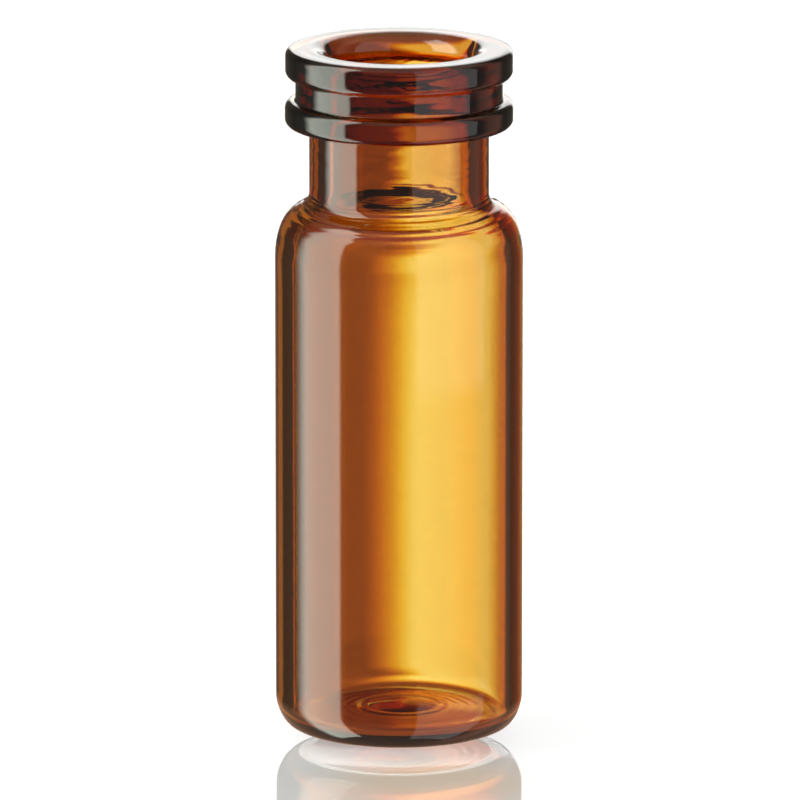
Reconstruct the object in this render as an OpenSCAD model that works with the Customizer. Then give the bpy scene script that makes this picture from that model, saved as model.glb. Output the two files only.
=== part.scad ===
// Snap-ring sample vial in amber tubing glass, standing on its foot ring.
// The vial is drawn, pressed and flame-closed from one tube, so it is one revolved section:
// foot, heel, body, shoulder, neck and crown outside, then lip, bore, cavity and floor inside.
// Origin: centre of the foot on the surface it stands on, +Z up the axis of the vial.

/* [Body] */
// Height from the foot to the top of the crown
height = 32.3; // [26:0.1:60]
// Outside diameter of the body tube
body_d = 11.6; // [11:0.1:16]
// Wall of the body tube
body_wall = 0.8; // [0.5:0.05:1.1]

/* [Foot and base] */
// Radius of the heel where it leaves the body wall
heel_wall_r = 1.98; // [1.2:0.02:2.4]
// Radius of the heel where it meets the foot
heel_foot_r = 0.9; // [0.4:0.05:1.1]
// Turn of the heel at which the first radius gives way to the second
heel_turn = 36; // [20:1:60]
// Width of the flat ring that the vial stands on
foot_w = 0.35; // [0.2:0.05:0.8]
// Rise of the underside at the centre, above the foot
push_up = 0.25; // [0.2:0.05:0.8]
// Thickness of the base
base_t = 0.75; // [0.6:0.05:1.5]
// Diameter of the low dome that the closing flame left on the floor of the cavity
closing_dome_d = 3.2; // [2:0.1:5]
// Height of that dome
closing_dome_h = 0.15; // [0.05:0.01:0.3]
// Height of the ring that runs round the foot of the dome
closing_ring_h = 0.03; // [0.01:0.01:0.1]
// Radius between the floor and the wall of the cavity
inner_heel_r = 0.45; // [0.3:0.05:2]

/* [Shoulder] */
// Radius of the shoulder where it leaves the body wall
shoulder_wall_r = 4.2; // [2.5:0.1:6]
// Turn of the shoulder at which the first radius gives way to the second
shoulder_turn = 18.5; // [8:0.5:30]
// Radius of the shoulder above that turn
shoulder_top_r = 1.91; // [1:0.01:2.4]
// Steepest slope of the shoulder, measured from the wall
shoulder_slope = 63.5; // [45:0.5:75]
// Radius inside the shoulder, between the wall of the cavity and the slope
inner_shoulder_r = 1.5; // [0.5:0.1:3]
// Rise of the bore's turn into the shoulder above the centre of the neck's fillet
throat_rise = 0.25; // [0:0.05:0.4]

/* [Neck] */
// Outside diameter of the neck
neck_d = 8.4; // [7.8:0.1:9.2]
// Straight neck between the shoulder's fillet and the crown
neck_h = 2.94; // [1:0.01:6]
// Fillet between the shoulder and the neck
neck_fillet_r = 0.62; // [0.3:0.01:0.9]
// Fillet between the neck and the underside of the crown
crown_root_r = 0.2; // [0.05:0.05:0.4]
// Diameter of the bore through crown and neck
bore_d = 6.5; // [5:0.1:7]

/* [Crown] */
// Diameter of the lower ring
low_ring_d = 10.66; // [10.2:0.02:11]
// Height of the lower ring
low_ring_h = 1.22; // [1:0.01:1.6]
// Radius of the lower ring's bottom edge
low_ring_under_r = 0.37; // [0.1:0.01:0.45]
// Radius of the lower ring's top edge
low_ring_over_r = 0.39; // [0.1:0.01:0.5]
// Diameter at the bottom of the snap groove
groove_d = 9.68; // [9.4:0.02:9.72]
// Height of the snap groove
groove_h = 1.06; // [0.6:0.01:1.6]
// Fillet in the two corners of the snap groove
groove_corner_r = 0.1; // [0.02:0.01:0.15]
// Diameter of the top ring, which the cap snaps over
top_ring_d = 10.62; // [10.56:0.02:11]
// Height of the top ring
top_ring_h = 1.39; // [1.2:0.01:1.8]
// Radius of the top ring's bottom edge
top_ring_under_r = 0.37; // [0.1:0.01:0.45]
// Radius of the top ring's top edge
top_ring_over_r = 0.36; // [0.1:0.01:0.5]
// Radius of the lip where the sealing face rolls into the bore
lip_r = 0.9; // [0.4:0.05:1.2]

/* [Hidden] */
// Degrees between points along the arcs of the section
arc_step = 5;
// Facets of a full turn, where the section is drawn as a mesh
$fn = 96;

body_r = body_d / 2;
cavity_r = body_r - body_wall;
neck_r = neck_d / 2;
bore_r = bore_d / 2;
groove_r = groove_d / 2;
low_ring_r = low_ring_d / 2;
top_ring_r = top_ring_d / 2;

// The crown's edge radii and root fillet are limited by the ledges that they round.
crown_ledge = low_ring_r - neck_r;
root_r = min(crown_root_r, crown_ledge / 3);
low_under_r = min(low_ring_under_r, crown_ledge - root_r, low_ring_h / 2);
corner_r = min(groove_corner_r, (low_ring_r - groove_r) / 3, (top_ring_r - groove_r) / 3);
low_over_r = min(low_ring_over_r, low_ring_r - groove_r - corner_r, low_ring_h / 2);
top_under_r = min(top_ring_under_r, top_ring_r - groove_r - corner_r, top_ring_h / 2);
top_over_r = min(top_ring_over_r, top_ring_r - bore_r - lip_r, top_ring_h / 2);

// Heights of the crown's faces, counted down from the top of the vial
top_ring_z = height - top_ring_h;
groove_z = top_ring_z - groove_h;
low_ring_z = groove_z - low_ring_h;

// Heel: the wall radius turns until heel_turn, and the foot radius takes it on to the floor.
heel_gap = heel_wall_r - heel_foot_r;
heel_z = heel_foot_r + heel_gap * sin(heel_turn);
heel_wall_c = [body_r - heel_wall_r, heel_z];
heel_foot_c = heel_wall_c + heel_gap * [cos(heel_turn), -sin(heel_turn)];
foot_out_r = heel_foot_c[0];
foot_in_r = foot_out_r - foot_w;

// Underside and floor: two spherical caps on one centre, a base thickness apart.
under_r = (foot_in_r * foot_in_r + push_up * push_up) / (2 * push_up);
cap_c = [0, push_up - under_r];
under_edge = acos(foot_in_r / under_r);
floor_r = under_r + base_t;
inner_heel_x = cavity_r - inner_heel_r;
inner_heel_c = [
    inner_heel_x,
    cap_c[1] + sqrt(pow(floor_r + inner_heel_r, 2) - inner_heel_x * inner_heel_x)
];
floor_edge = acos(inner_heel_x / (floor_r + inner_heel_r));
dome_r = closing_dome_d / 2;
closing_ring_w = 0.6;

// Shoulder: its radii shrink together where the body is too slim for them.
slope_cos = cos(shoulder_slope);
slope_sin = sin(shoulder_slope);
shoulder_run = shoulder_wall_r
    - (shoulder_wall_r - shoulder_top_r) * cos(shoulder_turn)
    - shoulder_top_r * slope_cos
    + neck_fillet_r * (1 - slope_cos);
shoulder_fit = min(1, (body_r - neck_r) / shoulder_run);
wall_r = shoulder_fit * shoulder_wall_r;
top_r = shoulder_fit * shoulder_top_r;
fillet_r = shoulder_fit * neck_fillet_r;
// The slope takes up the rest of the way from the body to the neck.
slope_len = (body_r - neck_r - shoulder_fit * shoulder_run) / slope_sin;
fillet_c = [neck_r + fillet_r, low_ring_z - root_r - neck_h];
slope_top = fillet_c - fillet_r * [slope_cos, slope_sin];
slope_foot = slope_top + slope_len * [slope_sin, -slope_cos];
top_arc_c = slope_foot - top_r * [slope_cos, slope_sin];
wall_arc_c = top_arc_c - (wall_r - top_r) * [cos(shoulder_turn), sin(shoulder_turn)];

// Inside of the shoulder: it turns out of the bore about a centre just above the neck fillet's.
throat_r = fillet_r + neck_r - bore_r;
throat_c = fillet_c + [0, throat_rise];
throat_foot = throat_c - throat_r * [slope_cos, slope_sin];
inner_slope_len = (cavity_r - throat_foot[0]) / slope_sin;
inner_wall_r = min(inner_shoulder_r, inner_slope_len / tan(shoulder_slope / 2));
inner_wall_c = [
    cavity_r - inner_wall_r,
    throat_foot[1] - inner_slope_len * slope_cos - inner_wall_r * tan(shoulder_slope / 2)
];

// Points along a circular arc about c, from angle a to angle b, both ends included
function arc(c, r, a, b) =
    let (n = max(2, ceil(abs(b - a) / arc_step)))
    [for (i = [0:n]) c + r * [cos(a + (b - a) * i / n), sin(a + (b - a) * i / n)]];

// A ring of the crown: rounded bottom and top edges, between heights z and z + h
function ring(r, z, h, under, over) = concat(
    arc([r - under, z + under], under, -90, 0),
    arc([r - over, z + h - over], over, 0, 90)
);

// Underside and foot, from the axis outwards
function base_outside() = concat(
    arc(cap_c, under_r, 90, under_edge),
    arc(heel_foot_c, heel_foot_r, -90, -heel_turn),
    arc(heel_wall_c, heel_wall_r, -heel_turn, 0)
);

// Shoulder, from the body wall to the straight neck
function shoulder_outside() = concat(
    arc(wall_arc_c, wall_r, 0, shoulder_turn),
    arc(top_arc_c, top_r, shoulder_turn, shoulder_slope),
    arc(fillet_c, fillet_r, 180 + shoulder_slope, 180)
);

// Crown, from its underside to the sealing face
function crown_outside() = concat(
    arc([neck_r + root_r, low_ring_z - root_r], root_r, 180, 90),
    ring(low_ring_r, low_ring_z, low_ring_h, low_under_r, low_over_r),
    arc([groove_r + corner_r, groove_z + corner_r], corner_r, 270, 180),
    arc([groove_r + corner_r, top_ring_z - corner_r], corner_r, 180, 90),
    ring(top_ring_r, top_ring_z, top_ring_h, top_under_r, top_over_r)
);

// Mouth and bore, from the sealing face down to the inside of the shoulder
function mouth_inside() = concat(
    arc([bore_r + lip_r, height - lip_r], lip_r, 90, 180),
    arc(throat_c, throat_r, 180, 180 + shoulder_slope),
    arc(inner_wall_c, inner_wall_r, shoulder_slope, 0)
);

// Height of the floor at radius x: the inner cap, then one cosine wave for the ring round
// the dome, and inside that a parabola for the dome
function floor_at(x) = cap_c[1] + sqrt(floor_r * floor_r - x * x)
    + (x > dome_r
        ? closing_ring_h * (1 - cos(360 * (x - dome_r) / closing_ring_w)) / 2
        : closing_dome_h * (1 - x * x / (dome_r * dome_r)));

// Inside of the heel and floor, from the wall of the cavity to the axis
function base_inside() = let (out = dome_r + closing_ring_w, n = 8, m = 10) concat(
    arc(inner_heel_c, inner_heel_r, 0, floor_edge - 180),
    arc(cap_c, floor_r, floor_edge, acos(out / floor_r)),
    [for (i = [1:n]) let (x = out - closing_ring_w * i / n) [x, floor_at(x)]],
    [for (i = [m - 1:-1:0]) [dome_r * i / m, floor_at(dome_r * i / m)]]
);

module vial() {
    color([0.60, 0.29, 0.07])
        rotate_extrude()
            polygon(concat(
                base_outside(),
                shoulder_outside(),
                crown_outside(),
                mouth_inside(),
                base_inside()
            ));
}

vial();
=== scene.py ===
import math

import bpy
import numpy as np
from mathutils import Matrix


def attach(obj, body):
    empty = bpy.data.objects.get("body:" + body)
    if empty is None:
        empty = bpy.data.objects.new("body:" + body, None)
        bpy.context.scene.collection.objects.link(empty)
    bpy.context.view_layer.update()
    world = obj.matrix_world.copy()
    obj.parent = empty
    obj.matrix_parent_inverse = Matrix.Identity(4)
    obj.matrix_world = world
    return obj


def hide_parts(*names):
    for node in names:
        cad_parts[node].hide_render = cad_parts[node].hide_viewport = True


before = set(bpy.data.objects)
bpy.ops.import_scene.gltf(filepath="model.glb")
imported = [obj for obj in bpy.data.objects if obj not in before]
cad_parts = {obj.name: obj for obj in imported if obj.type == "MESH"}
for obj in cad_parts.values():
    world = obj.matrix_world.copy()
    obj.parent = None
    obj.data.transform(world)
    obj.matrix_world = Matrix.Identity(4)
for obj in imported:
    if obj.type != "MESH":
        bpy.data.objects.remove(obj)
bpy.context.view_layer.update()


# Camera: a long lens half a metre from the vial, looking down on it a little, as over the edge of a bench.
# It isn't part of the object.
mm = 0.001
scene = bpy.context.scene
scene.view_settings.view_transform = "Standard"
distance, pitch, aim_height = 550 * mm, math.radians(12.62), 16 * mm
sensor_width, focal_length = 36, 529.97175
frame_right, frame_down = 0.000625, 0.012125  # how far the frame is moved, as shares of its width
camera_data = bpy.data.cameras.new("camera")
camera_data.sensor_width = sensor_width
camera_data.lens = focal_length
camera_data.shift_x = frame_right
camera_data.shift_y = -frame_down
camera_data.clip_start = 10 * mm
camera_data.clip_end = 10
camera = bpy.data.objects.new("camera", camera_data)
camera.location = (0, -distance * math.cos(pitch), aim_height + distance * math.sin(pitch))
camera.rotation_euler = (math.pi / 2 - pitch, 0, 0)
scene.collection.objects.link(camera)
scene.camera = camera


# The vial: one piece of amber borosilicate tube, open at the top. The crown and neck are pressed on the tube's hot
# end with a plug in the bore, and the flame draws off the other end and closes the base. Sizes are in millimetres.
height, body_r, cavity_r = 32.3, 5.8, 5.0
neck_r, neck_h, bore_r, lip_r = 4.2, 2.94, 3.25, 0.9
top_ring_r, top_ring_z, top_ring_h, top_under_r, top_over_r = 5.31, 30.91, 1.39, 0.37, 0.36
groove_r, groove_z, corner_r = 4.84, 29.85, 0.10
low_ring_r, low_ring_z, low_ring_h, low_under_r, low_over_r = 5.33, 28.63, 1.22, 0.37, 0.39
root_r, fillet_r, throat_rise = 0.2, 0.62, 0.25
shoulder_wall_r, shoulder_top_r, inner_shoulder_r = 4.2, 1.91, 1.5
shoulder_turn, slope = 18.5, 63.5  # degrees turned from the wall where the radii meet, and on the straight slope
heel_wall_r, heel_foot_r, inner_heel_r = 1.98, 0.9, 0.45
heel_turn = 36  # degrees turned from the wall where the heel's two radii meet
foot_w, push_up, base_t = 0.35, 0.25, 0.75
base_step, ring_step, corner_step = 0.8, 8, 15  # degrees from point to point on these arcs, and 5 on the others


def polar(angle):
    """The unit vector at an angle in degrees up from the outward direction."""
    return np.array([math.cos(math.radians(angle)), math.sin(math.radians(angle))])


def arc(centre, radius, start, end, step=5.0):
    """Points on a circular arc: the centre plus the radius times the unit vector, from start to end degrees."""
    n = max(2, math.ceil(abs(end - start) / step))
    angles = np.radians(np.linspace(start, end, n + 1))
    return np.column_stack([centre[0] + radius * np.cos(angles), centre[1] + radius * np.sin(angles)])


def ring(r, z, h, under, over):
    """The outside of a ring of the crown, from its rounded lower edge to its rounded upper one."""
    return [arc((r - under, z + under), under, -90, 0, ring_step),
            arc((r - over, z + h - over), over, 0, 90, ring_step)]


def section():
    """Half the vial's section, from the axis under the base, up the outside, over the lip, and down the inside to
    the axis again. Each arc's centre lies where the arc meets its neighbours on a shared tangent."""
    heel_gap = heel_wall_r - heel_foot_r
    heel_c = np.array([body_r - heel_wall_r, heel_foot_r + heel_gap * math.sin(math.radians(heel_turn))])
    foot_c = heel_c + heel_gap * polar(-heel_turn)
    foot_in = foot_c[0] - foot_w
    under_r = (foot_in**2 + push_up**2) / (2 * push_up)
    under_edge = math.degrees(math.acos(foot_in / under_r))
    base_c = np.array([0, push_up - under_r])
    floor_r = under_r + base_t
    inner_heel_x = cavity_r - inner_heel_r
    floor_edge = math.degrees(math.acos(inner_heel_x / (floor_r + inner_heel_r)))
    inner_heel_c = np.array(
        [inner_heel_x, base_c[1] + math.sqrt((floor_r + inner_heel_r) ** 2 - inner_heel_x**2)])

    slope_out, slope_down = polar(slope), polar(slope - 90)
    fillet_c = np.array([neck_r + fillet_r, low_ring_z - root_r - neck_h])
    shoulder_gap = shoulder_wall_r - shoulder_top_r
    turned = shoulder_wall_r - shoulder_gap * math.cos(math.radians(shoulder_turn))
    turned = turned - shoulder_top_r * slope_out[0] + fillet_r * (1 - slope_out[0])
    slope_length = (body_r - neck_r - turned) / slope_down[0]
    shoulder_top_c = fillet_c - (fillet_r + shoulder_top_r) * slope_out + slope_length * slope_down
    shoulder_wall_c = shoulder_top_c - shoulder_gap * polar(shoulder_turn)

    throat_r = fillet_r + neck_r - bore_r
    throat_c = fillet_c + [0, throat_rise]
    throat = throat_c - throat_r * slope_out
    inner_length = (cavity_r - throat[0]) / slope_down[0]
    half_turn = math.tan(math.radians(slope / 2))
    inner_r = min(inner_shoulder_r, inner_length / half_turn)
    inner_c = np.array([cavity_r - inner_r, throat[1] + inner_length * slope_down[1] - inner_r * half_turn])

    arcs = [
        arc(base_c, under_r, 90, under_edge, base_step),
        arc(foot_c, heel_foot_r, -90, -heel_turn),
        arc(heel_c, heel_wall_r, -heel_turn, 0),
        arc(shoulder_wall_c, shoulder_wall_r, 0, shoulder_turn),
        arc(shoulder_top_c, shoulder_top_r, shoulder_turn, slope),
        arc(fillet_c, fillet_r, 180 + slope, 180),
        arc((neck_r + root_r, low_ring_z - root_r), root_r, 180, 90, corner_step),
        *ring(low_ring_r, low_ring_z, low_ring_h, low_under_r, low_over_r),
        arc((groove_r + corner_r, groove_z + corner_r), corner_r, 270, 180, corner_step),
        arc((groove_r + corner_r, top_ring_z - corner_r), corner_r, 180, 90, corner_step),
        *ring(top_ring_r, top_ring_z, top_ring_h, top_under_r, top_over_r),
        arc((bore_r + lip_r, height - lip_r), lip_r, 90, 180),
        arc(throat_c, throat_r, 180, 180 + slope),
        arc(inner_c, inner_r, slope, 0),
        arc(inner_heel_c, inner_heel_r, 0, floor_edge - 180, ring_step),
        arc(base_c, floor_r, floor_edge, 90, base_step)[1:],
    ]
    points = np.concatenate(arcs)
    points[[0, -1], 0] = 0
    apart = np.hypot(*np.diff(points, axis=0).T) > 1e-5
    return points[np.r_[True, apart]]


def longest_step(r, z):
    """Finest on the shoulder's ripples and the marks under the lip, fine from the shoulder up and in the base."""
    finest, fine, plain = 0.06, 0.09, 1.0
    rippled = (z > 23.4) & (z < 25.7) | (r < 3.4) & (z > 30.3) & (z < 31.5)
    return np.where(rippled, finest, np.where((z > 22.6) | (z < 1.9), fine, plain))


def refine(line, longest):
    """Cut each straight run of a line into equal steps, none longer than longest(r, z), and keep its corners."""
    start, end = line[:-1], line[1:]
    steps = np.ceil(np.hypot(*(end - start).T) / longest(*((start + end) / 2).T)).astype(int)
    run = np.repeat(np.arange(len(start)), steps)
    share = (np.arange(len(run)) - (np.cumsum(steps) - steps)[run]) / steps[run]
    return np.vstack([start[run] + share[:, None] * (end - start)[run], line[-1:]])


def between(value, low, high, soft):
    """1 from low to high and 0 outside them, with an edge at each that is half a cosine wave, soft wide."""
    edge = np.clip(np.minimum(value - low, high - value) / soft + 0.5, 0, 1)
    return (1 - np.cos(math.pi * edge)) / 2


def waves(low, high, soft, depth, count, length, turns):
    """Waves of about this depth between two heights: the sum of plane waves, each with its own length up the wall
    and its own whole number of turns round the axis, divided by the square root of how many there are."""
    total = 0
    for _ in range(count):
        climb = 2 * math.pi / rng.uniform(*length)
        twist = rng.integers(turns[0], turns[1] + 1) * rng.choice([-1, 1])
        total = total + np.sin(climb * z + twist * t + rng.uniform(0, 2 * math.pi))
    return depth * between(z, low, high, soft) * total / math.sqrt(count)


def quads(rows, across, closed):
    """The faces of a grid of points: for each row listed, a point, the next one along, and the two above them."""
    i, j = np.meshgrid(rows, np.arange(across if closed else across - 1), indexing="ij")
    here, beside = i * across + j, i * across + (j + 1) % across
    return np.stack([here, beside, beside + across, here + across], -1).reshape(-1, 4).tolist()


def piece(name, points, faces):
    """A mesh object at the origin, with its place in its mesh."""
    mesh = bpy.data.meshes.new(name)
    mesh.from_pydata(points.tolist(), [], faces)
    made = bpy.data.objects.new(name, mesh)
    scene.collection.objects.link(made)
    return made


around = 176
line = refine(section(), longest_step)
along = np.gradient(line, axis=0)
outward = np.column_stack([along[:, 1], -along[:, 0]]) / np.maximum(np.hypot(*along.T), 1e-9)[:, None]
r, z = line.T[:, :, None]
t = np.linspace(0, 2 * math.pi, around, endpoint=False)[None, :]
inside = np.arange(len(line))[:, None] > np.argmax(z)

# What the plug, the mould and the flame leave, as heights that the glass stands out from the section. First the
# waves: slow in the bore, faint on the crown, close knurl marks under the lip, and faint on the neck.
rng = np.random.default_rng(11)
bore_waves = waves(26.5, 31.1, 0.6, depth=0.004, count=14, length=(0.3, 1.0), turns=(1, 9))
crown_waves = waves(25.7, 32.0, 0.5, depth=0.0015, count=14, length=(0.25, 1.2), turns=(4, 24))
knurl = waves(30.5, 31.25, 0.3, depth=0.010, count=10, length=(0.16, 0.3), turns=(20, 50))
neck_waves = waves(25.7, 28.3, 0.5, depth=0.0011, count=12, length=(0.2, 0.45), turns=(2, 14))

# Ripples across the shoulder, which follow the slope and rise once round it, deeper inside than outside.
ripple_length, ripple_in, ripple_out = 0.32, 0.009, 0.0035
down_slope = 0.89 * r - 0.45 * z
ripples = between(z, 23.9, 25.4, 0.6) * np.sin(2 * math.pi * down_slope / ripple_length + t)

# Under the shoulder the flame gathers the wall a little thicker inside.
gathered_t = 0.065
gathered = gathered_t * between(z, 22.8, 24.35, 0.7)

# A shallow hollow runs round the sealing face, deeper on one side.
hollow_depth, hollow_w = 0.012, 0.62
hollow = (1 - np.cos(2 * math.pi * (r - bore_r - lip_r) / hollow_w)) / 2
hollow = -hollow_depth * hollow * (0.6 - 0.4 * np.cos(t))
hollow = hollow * between(r, 4.0, 5.0, 0.2) * (z > height - 0.1)

# The closing mark, a little off the axis: a dome on the floor with a ring round it, and shallow rings further out
# on the floor and under the base.
off_axis, dome_h, dome_r, dome_ring_h, shallow_h, shallow_gap = 0.14, 0.15, 1.6, 0.015, 0.0010, 0.5
from_mark = np.hypot(r * np.cos(t) - off_axis, r * np.sin(t))
shallow = shallow_h * between(from_mark, 2.1, 3.9, 0.5) * np.sin(2 * math.pi * from_mark / shallow_gap)
dome = dome_h * np.clip(1 - (from_mark / dome_r) ** 2, 0, 1) + dome_ring_h * between(from_mark, 1.75, 2.05, 0.3)
on_floor, under_base = (z < 1.6) & (r < 4.0), (z < 0.5) & (r < 4.0)

stands_out = hollow + np.where(
    inside,
    bore_waves + knurl + ripple_in * ripples + gathered + on_floor * (dome + shallow),
    crown_waves + neck_waves + ripple_out * ripples - under_base * shallow)
r, z = r + stands_out * outward[:, :1], z + stands_out * outward[:, 1:]
rows = np.stack([r * np.cos(t), r * np.sin(t), z], -1)[1:-1]
points = np.concatenate([rows.reshape(-1, 3), [[0, 0, z[0, 0]], [0, 0, z[-1, 0]]]]) * mm
first, last, base_pole = np.arange(around), (len(rows) - 1) * around + np.arange(around), len(rows) * around
base_fan = np.stack([np.full(around, base_pole), np.roll(first, -1), first], -1)
floor_fan = np.stack([np.full(around, base_pole + 1), last, np.roll(last, -1)], -1)
faces = quads(np.arange(len(rows) - 1), around, closed=True) + base_fan.tolist() + floor_fan.tolist()
vial = piece("vial_glass", points, faces)
vial.data.polygons.foreach_set("use_smooth", np.ones(len(faces), bool))
vial.data.update()


def linear(hex_colour):
    """sRGB hex to linear colour, by the standard's two-part curve, with full alpha."""
    c = np.array([int(hex_colour[i:i + 2], 16) for i in (1, 3, 5)]) / 255
    return tuple(np.where(c <= 0.04045, c / 12.92, ((c + 0.055) / 1.055) ** 2.4)) + (1.0,)


def material(made, name):
    """Give a piece an empty node material of this name, and return its node tree."""
    new = bpy.data.materials.new(name)
    new.use_nodes = True
    new.node_tree.nodes.clear()
    made.data.materials.append(new)
    return new.node_tree


def node(tree, kind, settings, *in_order, **by_name):
    """Add a node of a kind. Settings are its properties, or only its operation. Its inputs are filled in order or by
    identifier, with _ for a space, from a number, a colour, a socket, or a node, which stands for its first output."""
    new = tree.nodes.new("ShaderNode" + kind)
    for name, value in ({"operation": settings} if isinstance(settings, str) else settings).items():
        setattr(new, name, value)
    named = {socket.identifier.replace(" ", "_"): socket for socket in new.inputs}
    for socket, value in [*zip(new.inputs, in_order), *((named[name], value) for name, value in by_name.items())]:
        value = value.outputs[0] if isinstance(value, bpy.types.Node) else value
        if isinstance(value, bpy.types.NodeSocket):
            tree.links.new(value, socket)
        else:
            socket.default_value = value
    return new


# Amber borosilicate glass, coloured through its depth and fire-polished: sharp clear reflections on a surface
# without grain, honey where the light goes through one thin wall, red-brown to black where it goes far along it.
tree = material(vial, "amber_tubing_glass")
amber_passed, amber_depth = linear("#A25919")[:3], 1.6 * mm  # the light that this depth of glass lets through
absorbed = -np.log(amber_passed) / amber_depth
density = 1.02 * absorbed.max()  # a little over the strongest, so that no colour is all taken
surface = node(tree, "BsdfPrincipled", {}, Base_Color=linear("#FFFFFF"), Roughness=0.0, IOR=1.5,
               Transmission_Weight=1.0)
depth = node(tree, "VolumeAbsorption", {}, Color=tuple(1 - absorbed / density) + (1,), Density=density)
node(tree, "OutputMaterial", {}, Surface=surface, Volume=depth)
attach(vial, "root")
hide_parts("vial")


# Floor: a white acrylic table top, polished, under the vial and far past the view. Its mirror plane lies a little
# below the foot, as under a clear coat. It isn't part of the object.
half, mirror_depth = 400 * mm, 0.68 * mm
corners = np.array([(-half, -half), (half, -half), (half, half), (-half, half)])
floor = piece("floor", np.column_stack([corners, np.full(4, -mirror_depth)]), [(0, 1, 2, 3)])

# Polished white acrylic: the eye gets an even white with a soft mirror image in it, and a warm patch of painted
# light in front of the vial, a painted caustic where light that has come through the glass would fall.
tree = material(floor, "polished_white_acrylic")
path = node(tree, "LightPath", {})
place = node(tree, "TexCoord", {}).outputs["Object"]
warm_centre, warm_core, warm_edge = (1.5 * mm, -9 * mm, 0), 2 * mm, 7.5 * mm
white_glow, mirror_share, mirror_roughness = 0.39, 0.36, 0.02
smooth = {"interpolation_type": "SMOOTHSTEP"}
# Painted light: the floor glows warmer round a point in front of the vial, as if lit through the amber glass.
from_warm = node(tree, "VectorMath", "LENGTH", node(tree, "VectorMath", "SUBTRACT", place, warm_centre))
painted_caustic = node(tree, "MapRange", smooth, from_warm.outputs["Value"], warm_edge, warm_core)
caustic_colour = node(tree, "Mix", {"data_type": "RGBA"}, painted_caustic, A_Color=linear("#FFFFFF"), B_Color=linear("#FFCE95"))
body = node(tree, "AddShader", {}, node(tree, "BsdfDiffuse", {}, linear("#AAAAAA")),
            node(tree, "Emission", {}, caustic_colour.outputs[2], white_glow))
mirror = node(tree, "BsdfGlossy", {}, linear("#FFFFFF"), mirror_roughness)
table = node(tree, "MixShader", {}, mirror_share, body, mirror)

# What the glass itself bends or mirrors is a disc of painted light on the table under the vial, and past it the
# studio.
clear = node(tree, "BsdfTransparent", {})
passing = path.outputs["Is Transmission Ray"]
from_axis = node(tree, "VectorMath", "LENGTH", place).outputs["Value"]
bent_disc = node(tree, "MapRange", {}, from_axis, 6.4 * mm, 5.0 * mm)
mirrored_disc = node(tree, "MapRange", {}, from_axis, 12 * mm, 8 * mm)
disc = node(tree, "Mix", {"data_type": "FLOAT"}, passing, A_Float=mirrored_disc, B_Float=bent_disc)
disc = node(tree, "Math", "MULTIPLY", disc, path.outputs["Is Singular Ray"])
# Painted shade: seen through the glass, the disc glows dimmer towards its middle, under the base.
shade = node(tree, "MapRange", {}, from_axis, 0.8 * mm, 2.6 * mm, 0.3, 0.62)
bent = node(tree, "Emission", {}, linear("#FFD3BC"), shade)
# Painted reflection: mirrored in the glass, the disc glows rose, and paler and a little brighter after a second
# mirroring.
again = node(tree, "MapRange", {}, path.outputs["Glossy Depth"], 1, 2)
rose = node(tree, "Mix", {"data_type": "RGBA"}, again, A_Color=linear("#FFBC99"), B_Color=linear("#FFF9F1"))
level = node(tree, "MapRange", {}, again, 0, 1, 0.5, 0.6)
mirrored = node(tree, "AddShader", {}, node(tree, "Emission", {}, rose.outputs[2], level), clear)
seen = node(tree, "MixShader", {}, disc, clear, node(tree, "MixShader", {}, passing, mirrored, bent))
direct = node(tree, "Math", "MAXIMUM", path.outputs["Is Camera Ray"], path.outputs["Is Diffuse Ray"])
node(tree, "OutputMaterial", {}, node(tree, "MixShader", {}, direct, seen, table))


# Reflector: a tall white card that stands to the right, bent round the vial, for the long highlight down its side.
# A second sheet hangs under the table as its mirror image. They aren't part of the object.
card_from, card_to, card_distance, card_columns = 15.7, 81.4, 58 * mm, 40
card_levels = (np.array([4.0, 8.0, 130.0]) * mm, np.array([-10.0, -14.0, -130.0]) * mm)
bend = np.radians(np.linspace(card_from, card_to, card_columns))
bent_line = np.stack([np.sin(bend), -np.cos(bend)], -1) * card_distance
sheets = [np.column_stack([bent_line, np.full(card_columns, h)]) for levels in card_levels for h in levels]
reflector = piece("reflector", np.concatenate(sheets), quads([0, 1, 3, 4], card_columns, closed=False))

# White card: the eye gets an even white strip in the glass, that fades out over its lowest 2 mm.
tree = material(reflector, "white_reflector_card")
card_light = 1.15
up = node(tree, "SeparateXYZ", {}, node(tree, "TexCoord", {}).outputs["Object"]).outputs["Z"]
over_table = node(tree, "MapRange", smooth, up, 4.4 * mm, 6.2 * mm)
under_table = node(tree, "MapRange", smooth, up, -10.4 * mm, -12.2 * mm)
lit = node(tree, "Math", "ADD", over_table, under_table)
lit = node(tree, "Math", "MULTIPLY", lit, node(tree, "LightPath", {}).outputs["Is Singular Ray"])
white = node(tree, "Emission", {}, linear("#FFFFFF"), card_light)
node(tree, "OutputMaterial", {}, node(tree, "MixShader", {}, lit, node(tree, "BsdfTransparent", {}), white))
for kind in ("camera", "diffuse", "transmission", "volume_scatter", "shadow"):
    setattr(reflector, "visible_" + kind, False)


# Studio: a pale room painted by direction, with no lamps. The table sees plain white. Glass sees a dimmer room, so
# that its edges show: a lit strip of white behind it, soft boxes left and right of the camera, and dark between.
world = bpy.data.worlds.new("studio")
world.use_nodes = True
scene.world = world
tree = world.node_tree
tree.nodes.clear()


def amount(*factors):
    """The product of its factors. A factor is a node, or a soft edge given as a value, where it is still 0, and
    where it is 1, with the cubic between them that is level at both ends."""
    total = 1.0
    for factor in factors:
        if isinstance(factor, tuple):
            factor = node(tree, "MapRange", smooth, *factor)
        total = node(tree, "Math", "MULTIPLY", total, factor)
    return total


def painted(base, lights):
    """A base colour plus each light, which is its amount times its colour times its strength."""
    for how_much, hex_colour, strength in lights:
        colour = strength * np.array(linear(hex_colour)[:3])
        base = node(tree, "VectorMath", "ADD", base, node(tree, "VectorMath", "SCALE", colour, Scale=how_much))
    return base


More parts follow.
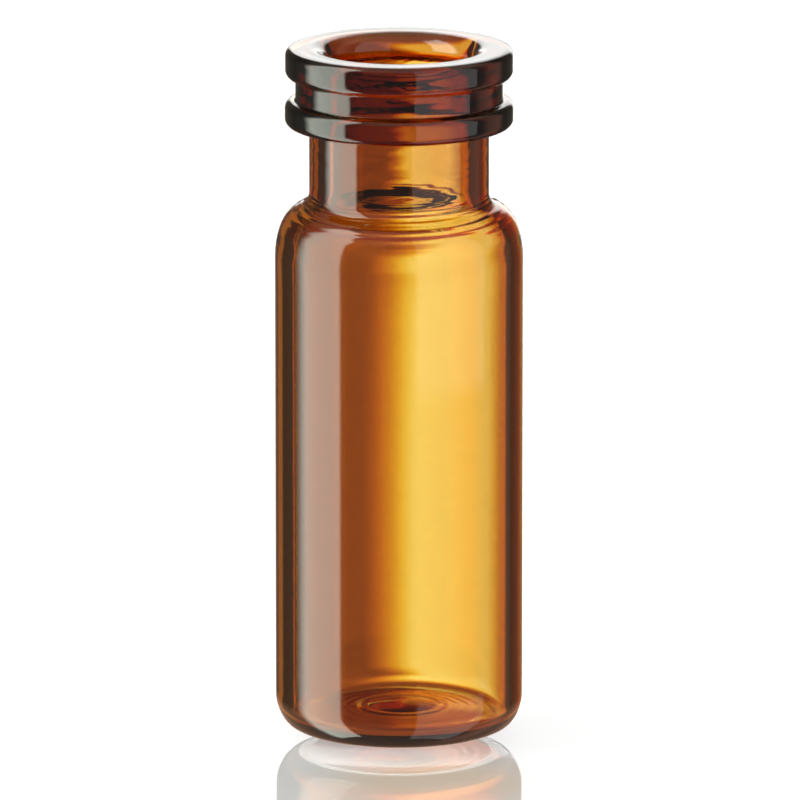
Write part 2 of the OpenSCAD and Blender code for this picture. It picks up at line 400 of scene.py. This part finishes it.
# Directions in degrees: back and front are turned from straight behind the vial and from straight in front, to the
# right. Tilt is up from level, and rise is up or down from it.
x, y, z = node(tree, "SeparateXYZ", {}, node(tree, "TexCoord", {}).outputs["Generated"]).outputs
toward_front = node(tree, "Math", "MULTIPLY", y, -1.0)
back = node(tree, "Math", "DEGREES", node(tree, "Math", "ARCTAN2", x, y))
front = node(tree, "Math", "DEGREES", node(tree, "Math", "ARCTAN2", x, toward_front))
tilt = node(tree, "Math", "DEGREES", node(tree, "Math", "ARCSINE", z))
rise = node(tree, "Math", "ABSOLUTE", tilt)
either_back = node(tree, "Math", "ABSOLUTE", back)
either_front = node(tree, "Math", "ABSOLUTE", front)

# Bounced is 1 for light that is mirrored inside the glass on its way, and straight is 1 for light that isn't.
path = node(tree, "LightPath", {})
bounced = node(tree, "Math", "MINIMUM", path.outputs["Glossy Depth"], 1.0)
straight = node(tree, "Math", "SUBTRACT", 1.0, bounced)
outside = node(tree, "Math", "SUBTRACT", 1.0, node(tree, "Math", "MINIMUM", path.outputs["Transmission Depth"], 1.0))

# Behind the vial: a lit patch, with one edge that leans and one that lies further out for straight light, a dim
# field round it, and a tail of light on its right. The dimmer it is, the more of the green and blue is gone.
leaning = node(tree, "Math", "SUBTRACT", back, 2.5)
leaning = node(tree, "Math", "MULTIPLY_ADD", node(tree, "Math", "MINIMUM", rise, 13.0), 0.2, leaning)
reach = node(tree, "Math", "MULTIPLY_ADD", straight, 9.0, 25.0)
reached = node(tree, "Math", "SUBTRACT", reach, leaning)
reached = node(tree, "Math", "DIVIDE", reached, node(tree, "Math", "SUBTRACT", reach, 3.0))
over_table = node(tree, "Math", "MAXIMUM", bounced, amount((tilt, 8, 0)))
glow = node(tree, "Math", "MULTIPLY_ADD", straight, 0.04, 0.05)
for how_much, strength in (
    (amount((back, 5, 12.5), (back, 44, 22), straight), 0.15),
    (amount((back, -17, -13), (back, 40, 26), (rise, 50, 30)), 0.10),
    (amount((leaning, -2.4, 1.15), (reached, 0, 1), (tilt, -30, -17), (tilt, 32, 18), over_table), 0.68),
):
    glow = node(tree, "Math", "MULTIPLY_ADD", how_much, strength, glow)
channels = []
for power, curved, plain, least, below, above in (
    (1.0, 0.0, 1.0, 0.0, 3.4, 4.4),  # red
    (3.2, 0.86, 0.12, 0.02, 10.6, 6.4),  # green
    (12.0, 0.978, 0.02, 0.002, 64.0, 15.0),  # blue
):
    curve = node(tree, "Math", "MULTIPLY_ADD", node(tree, "Math", "POWER", glow, power), curved, least)
    curve = node(tree, "Math", "MULTIPLY_ADD", glow, plain, curve)
    channels.append(node(tree, "Math", "MULTIPLY", curve, node(tree, "MapRange", smooth, tilt, -3, 3, below, above)))

# What shines through the glass: that field, the soft boxes left and right, and fainter lights round the room.
left = amount((front, -113.5, -97), (front, -54.5, -59.5), (rise, 62, 60))
left_level = node(tree, "Math", "MULTIPLY_ADD", bounced, 3.0, 0.6)
right = amount((front, 14, 17), (front, 83, 80), (rise, 50, 45))
right_level = node(tree, "Math", "MULTIPLY_ADD", bounced, 2.3, 0.3)
through = painted(node(tree, "CombineXYZ", {}, *channels), (
    (amount(left, left_level), "#FFFCF3", 1.0),
    (amount(right, right_level), "#FFF9F3", 1.0),
    (amount((back, 20, 28), (back, 60, 48), straight), "#F3FFD0", 1.9),  # behind to the right
    (amount((back, -65, -50), (back, -28, -34), straight), "#FFE5CF", 3.2),  # behind to the left
    (amount((back, -27, -21), (back, -6, -12), bounced), "#CAFFD7", 2.2),  # behind, a little to the left
    (amount((either_back, 60, 80), straight), "#F1FFFF", 1.7),  # both sides and the front
    (amount((tilt, 12, 40), (either_front, 90, 70), bounced), "#FFE3F1", 3.4),  # above the front
))

# Light that is mirrored more than once inside the glass comes out weaker.
more = node(tree, "Math", "MAXIMUM", node(tree, "Math", "SUBTRACT", path.outputs["Glossy Depth"], 1.0), 0.0)
weaker = node(tree, "Math", "DIVIDE", 1.0, node(tree, "Math", "MULTIPLY_ADD", more, 4.0, 1.0))
through = node(tree, "VectorMath", "SCALE", through, Scale=weaker)

# What the outside of the glass mirrors: the left soft box, a white sheet behind, and a faint room all round.
sheet_low = amount((back, -3.0, -1.2), (back, 20, 10), (tilt, -20, -16), (tilt, -6, -8))
slanted = node(tree, "Math", "MULTIPLY_ADD", either_back, 0.8, tilt)
sheet_high = amount((back, -12, -6), (back, 24, 14), (slanted, 3, 9), (tilt, 50, 28))
mirrored = painted(0.06 * np.array(linear("#FFFCF6")[:3]), (
    (node(tree, "Math", "MAXIMUM", sheet_low, sheet_high), "#FFFFFD", 2.3),
    (left, "#F8FFEF", 5.55),
    (amount((front, -135, -112), (front, 135, 112)), "#FFFCF6", 0.17),  # the room in front and at the sides
    (amount((front, 90, 104), (front, 130, 116)), "#FF9571", 0.6),  # a warm strip on the right
    (amount((either_front, 108, 135)), "#FFDCAF", 0.07),  # the room behind
    (amount((tilt, 30, 60)), "#FFEBCB", 0.6),  # the ceiling
))

# All that isn't glass sees white, and the table's soft mirror sees it half as bright again, for the table's sheen.
table_sheen = 0.5
not_sharp = node(tree, "Math", "SUBTRACT", 1.0, path.outputs["Is Singular Ray"])
soft_mirror = node(tree, "Math", "MULTIPLY", path.outputs["Is Glossy Ray"], not_sharp)
direct = node(tree, "Math", "MAXIMUM", path.outputs["Is Camera Ray"], path.outputs["Is Diffuse Ray"])
plain_white = node(tree, "Math", "MAXIMUM", direct, soft_mirror)
glass_sees = node(tree, "Mix", {"data_type": "RGBA"}, outside, A_Color=through, B_Color=mirrored)
room = node(tree, "Mix", {"data_type": "RGBA"}, plain_white, A_Color=glass_sees.outputs[2],
            B_Color=linear("#FFFFFF"))
brightness = node(tree, "Math", "MULTIPLY_ADD", soft_mirror, table_sheen, 1.0)
node(tree, "OutputWorld", {}, node(tree, "Background", {}, room.outputs[2], brightness))
